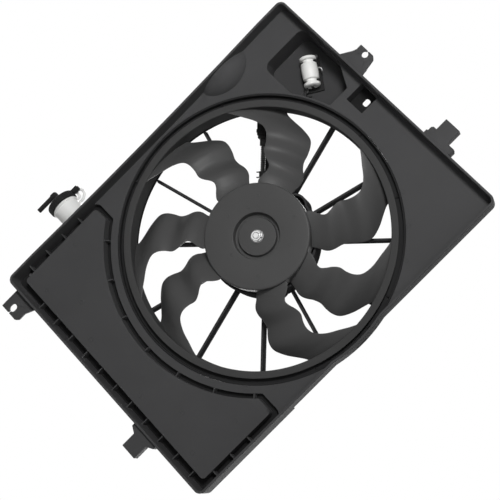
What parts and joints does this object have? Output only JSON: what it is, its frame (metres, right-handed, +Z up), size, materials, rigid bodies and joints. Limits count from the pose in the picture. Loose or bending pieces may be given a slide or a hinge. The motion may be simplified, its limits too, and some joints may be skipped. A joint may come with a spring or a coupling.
{
  "type": "radiator cooling fan",
  "caption": "Engine cooling fan assembly: moulded rectangular shroud with a banded sweeping-blade fan on an electric motor, ballast resistor, and a coolant reservoir with filler cap.",
  "frame": {"origin": "on the fan's axis, in the plane of the rim that seats on the radiator", "axes": "+X to the right seen from the radiator, +Y along the fan's axis towards the engine, +Z up with the reservoir's neck on top"},
  "size_m": [0.572, 0.101, 0.4568],
  "materials": {
    "moulding": "satin, lightly textured",
    "fan_moulding": "satin",
    "bright_steel": "bright",
    "zinc_steel": "zinc plated",
    "can_steel": "black paint",
    "core_steel": "laminated",
    "enamelled_copper": "enamelled copper wire",
    "copper": "turned copper",
    "ferrite": "dull",
    "sintered": "sintered bronze",
    "phenolic": "dull",
    "carbon": "dull",
    "black_rubber": "dull",
    "conduit": "corrugated",
    "black_plastic": "satin",
    "red_plastic": "satin",
    "ceramic": "unglazed ceramic",
    "natural_plastic": "translucent"
  },
  "bodies": {
    "shroud_assembly": {"shroud": "moulding", "fan_barrel": "moulding", "motor_carrier": "moulding", "motor_can": "can_steel", "motor_flange": "can_steel", "motor_end_cap": "zinc_steel", "motor_magnets": "ferrite", "front_bearing": "sintered", "rear_bearing": "sintered", "brush_plate": "phenolic", "brushes": "carbon", "brush_springs": "zinc_steel", "motor_screws": "zinc_steel", "end_cap_screws": "zinc_steel", "lead_grommet": "black_rubber", "motor_lead": "conduit", "lead_clips": "black_plastic", "motor_connector": "black_plastic", "connector_lock": "red_plastic", "resistor_body": "ceramic", "resistor_holder": "black_plastic", "resistor_terminals": "zinc_steel", "resistor_screws": "zinc_steel", "reservoir_tank": "natural_plastic", "reservoir_bolts": "zinc_steel"},
    "rotor": {"fan": "fan_moulding", "hub_bush": "sintered", "fan_washer": "bright_steel", "fan_nut": "bright_steel", "motor_shaft": "bright_steel", "armature_core": "core_steel", "armature_windings": "enamelled_copper", "commutator": "copper"},
    "filler_cap": {"reservoir_cap": "black_plastic", "reservoir_dip_tube": "black_plastic"}
  },
  "joints": [
    {"name": "fan_spin", "type": "hinge", "parent": "shroud_assembly", "child": "rotor", "pos_m": [0, 0, 0], "axis": [0, 1, 0], "continuous": true},
    {"name": "cap_lift", "type": "slide", "parent": "shroud_assembly", "child": "filler_cap", "axis": [0, 0, 1], "range_m": [0, 0.03]}
  ]
}
